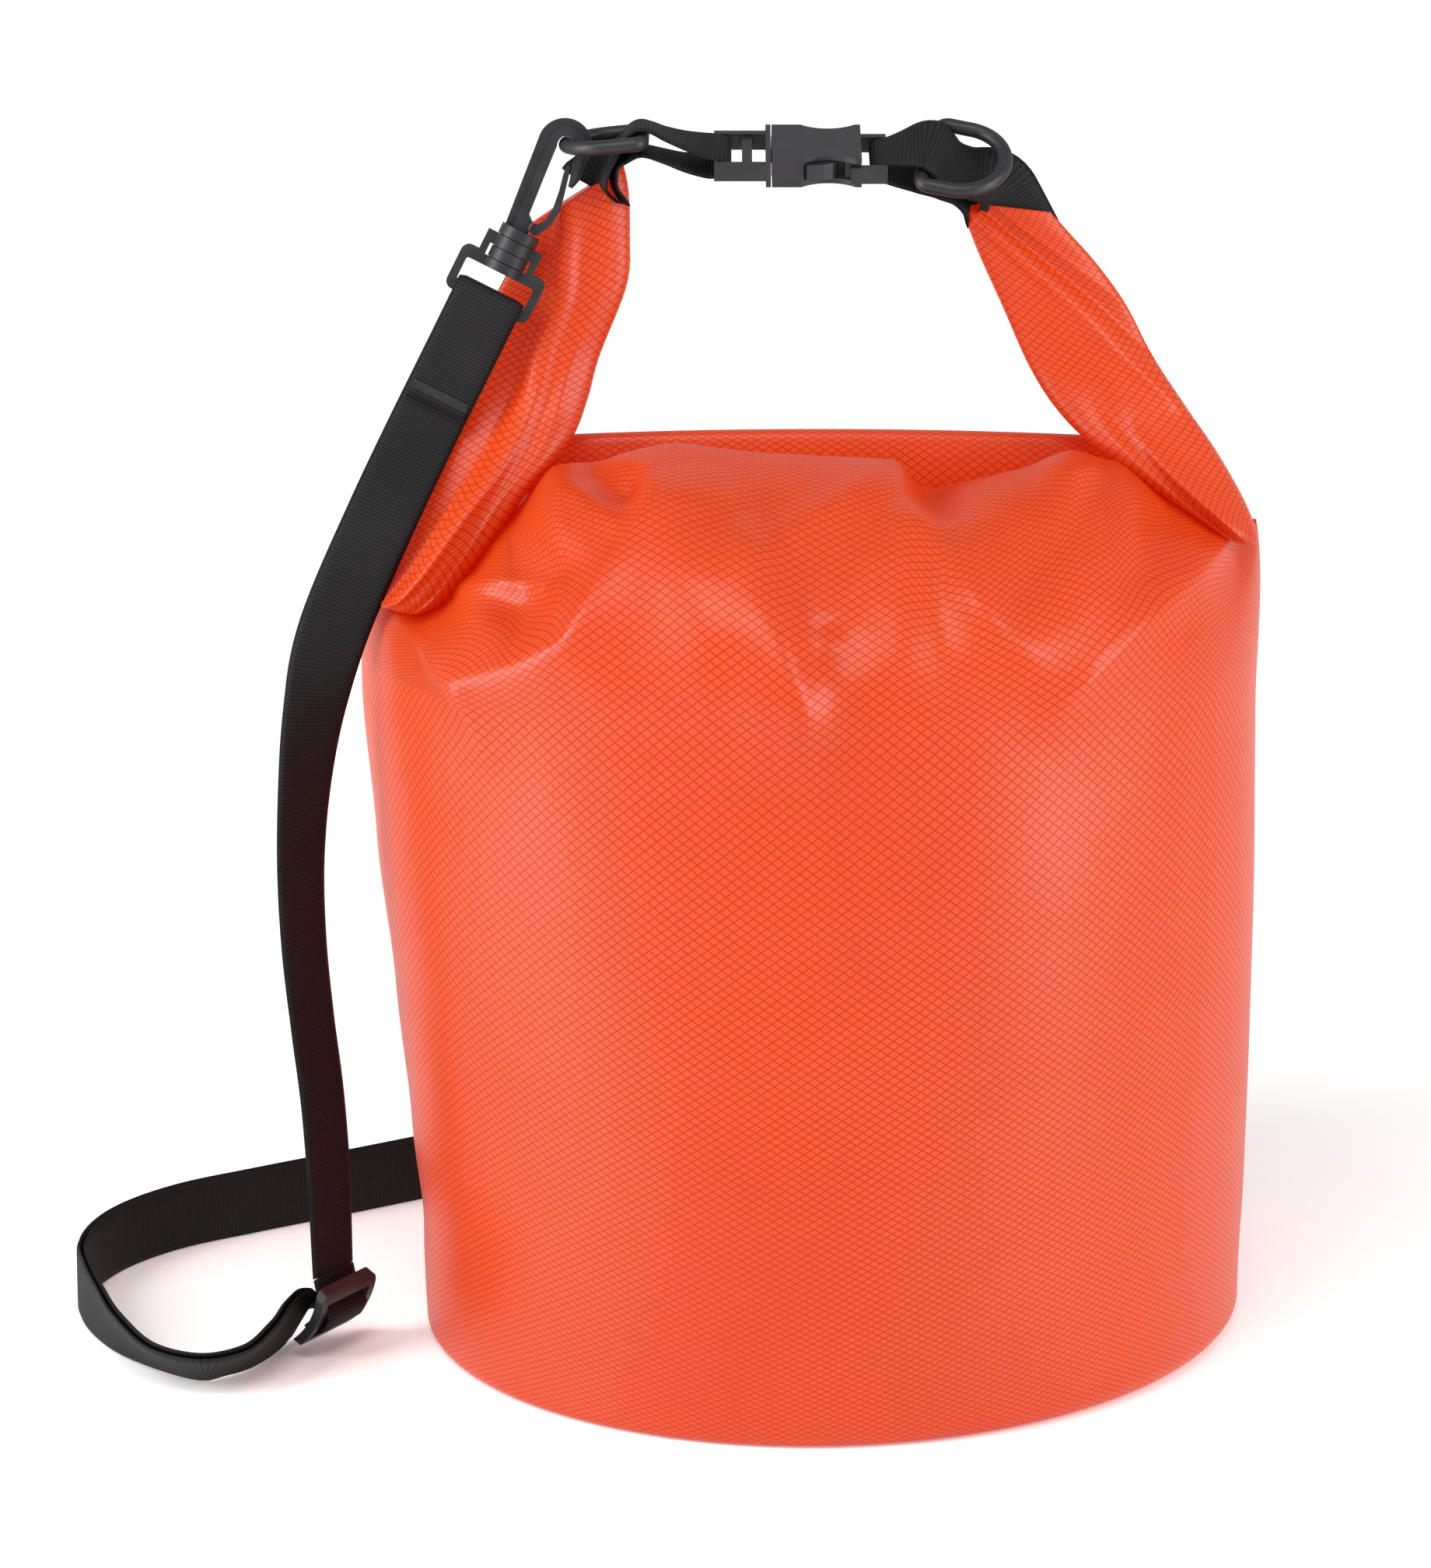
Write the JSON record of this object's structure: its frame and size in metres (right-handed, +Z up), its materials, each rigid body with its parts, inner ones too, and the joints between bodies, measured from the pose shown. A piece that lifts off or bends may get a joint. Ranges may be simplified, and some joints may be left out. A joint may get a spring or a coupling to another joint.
{
  "type": "roll-top dry bag",
  "caption": "Roll-top dry bag, closed and buckled into a carry handle, with an adjustable shoulder strap on swivel hooks.",
  "frame": {"origin": "centre of the bag's bounding box at the surface that its base stands on", "axes": "+Z up through the rolled mouth, -Y towards the side that the strap's near end hangs at, +X towards the buckle's female half"},
  "size_m": [0.3426, 0.2662, 0.3516],
  "materials": {
    "orange_fabric": "coated ripstop, soft sheen",
    "orange_tape": "satin heat-sealed tape",
    "stiffener": "matt sheet",
    "black_webbing": "ribbed weave",
    "black_thread": "twisted thread",
    "black_plastic": "fine-grained moulding"
  },
  "bodies": {
    "root": {"body_tube": "orange_fabric", "base_panel": "orange_fabric", "base_seam_tape": "orange_tape", "back_seam_tape": "orange_tape", "rolled_mouth": "orange_fabric", "left_arm": "orange_fabric", "right_arm": "orange_fabric", "mouth_stiffener": "stiffener", "left_handle_webbing": "black_webbing", "right_handle_webbing": "black_webbing", "buckle_male": "black_plastic", "buckle_female": "black_plastic", "strap_upper_run": "black_webbing", "strap_lower_run": "black_webbing", "strap_return": "black_webbing", "strap_far_turn": "black_webbing", "far_loop": "black_plastic"},
    "left_ring": {"left_ring": "black_plastic"},
    "right_ring": {"right_ring": "black_plastic"},
    "rear_prong": {"buckle_prong_rear": "black_plastic"},
    "front_prong": {"buckle_prong_front": "black_plastic"},
    "near_loop": {"near_loop": "black_plastic", "strap_near_fold": "black_webbing", "strap_near_tack": "black_thread"},
    "near_hook": {"near_hook": "black_plastic"},
    "near_gate": {"near_gate": "black_plastic"},
    "far_hook": {"far_hook": "black_plastic"},
    "far_gate": {"far_gate": "black_plastic"},
    "slider": {"strap_slider": "black_plastic", "strap_slider_wave": "black_webbing"}
  },
  "joints": [
    {"name": "left_ring_tilt", "type": "hinge", "parent": "root", "child": "left_ring", "pos_m": [-0.048, -0.006, 0.346], "axis": [0, 1, 0], "range_deg": [-1, 0]},
    {"name": "right_ring_swing", "type": "hinge", "parent": "root", "child": "right_ring", "pos_m": [0.0324, -0.0056, 0.3413], "axis": [-0.2761, -0.7922, -0.5442], "range_deg": [0, 75]},
    {"name": "near_hook_swing", "type": "hinge", "parent": "root", "child": "near_loop", "pos_m": [-0.06872, -0.0077, 0.34368], "axis": [0, 0.9903, -0.1392], "range_deg": [-4, 12], "deforming": ["strap_upper_run"]},
    {"name": "near_swivel", "type": "hinge", "parent": "near_loop", "child": "near_hook", "pos_m": [-0.0854, -0.012, 0.3131], "axis": [0.4478, 0.1245, 0.8854], "range_deg": [-4, 4]},
    {"name": "near_gate_press", "type": "hinge", "parent": "near_hook", "child": "near_gate", "pos_m": [-0.07772, -0.01092, 0.32078], "axis": [0, -0.9903, 0.1392], "range_deg": [0, 11], "stiffness_Nm_per_rad": 0.03},
    {"name": "far_swivel", "type": "hinge", "parent": "root", "child": "far_hook", "pos_m": [0.04, 0.141, 0.0136], "axis": [1, 0, 0], "continuous": true},
    {"name": "far_gate_press", "type": "hinge", "parent": "far_hook", "child": "far_gate", "pos_m": [0.0484, 0.141, 0.0102], "axis": [0, -1, 0], "range_deg": [0, 11], "stiffness_Nm_per_rad": 0.03},
    {"name": "slider_travel", "type": "slide", "parent": "root", "child": "slider", "axis": [0, 0, 1], "range_m": [0, 0.015], "deforming": ["strap_upper_run", "strap_lower_run", "strap_return"]},
    {"name": "rear_prong_squeeze", "type": "hinge", "parent": "root", "child": "rear_prong", "pos_m": [-0.0108, 0.0036, 0.3426], "axis": [0, 0.2251, -0.9743], "range_deg": [0, 12], "stiffness_Nm_per_rad": 0.05},
    {"name": "front_prong_squeeze", "type": "hinge", "parent": "root", "child": "front_prong", "pos_m": [-0.0108, -0.0136, 0.3386], "axis": [0, 0.2251, -0.9743], "range_deg": [-12, 0], "stiffness_Nm_per_rad": 0.05}
  ],
  "couplings": [
    {"joint": "front_prong_squeeze", "follows": "rear_prong_squeeze", "ratio": -1}
  ]
}
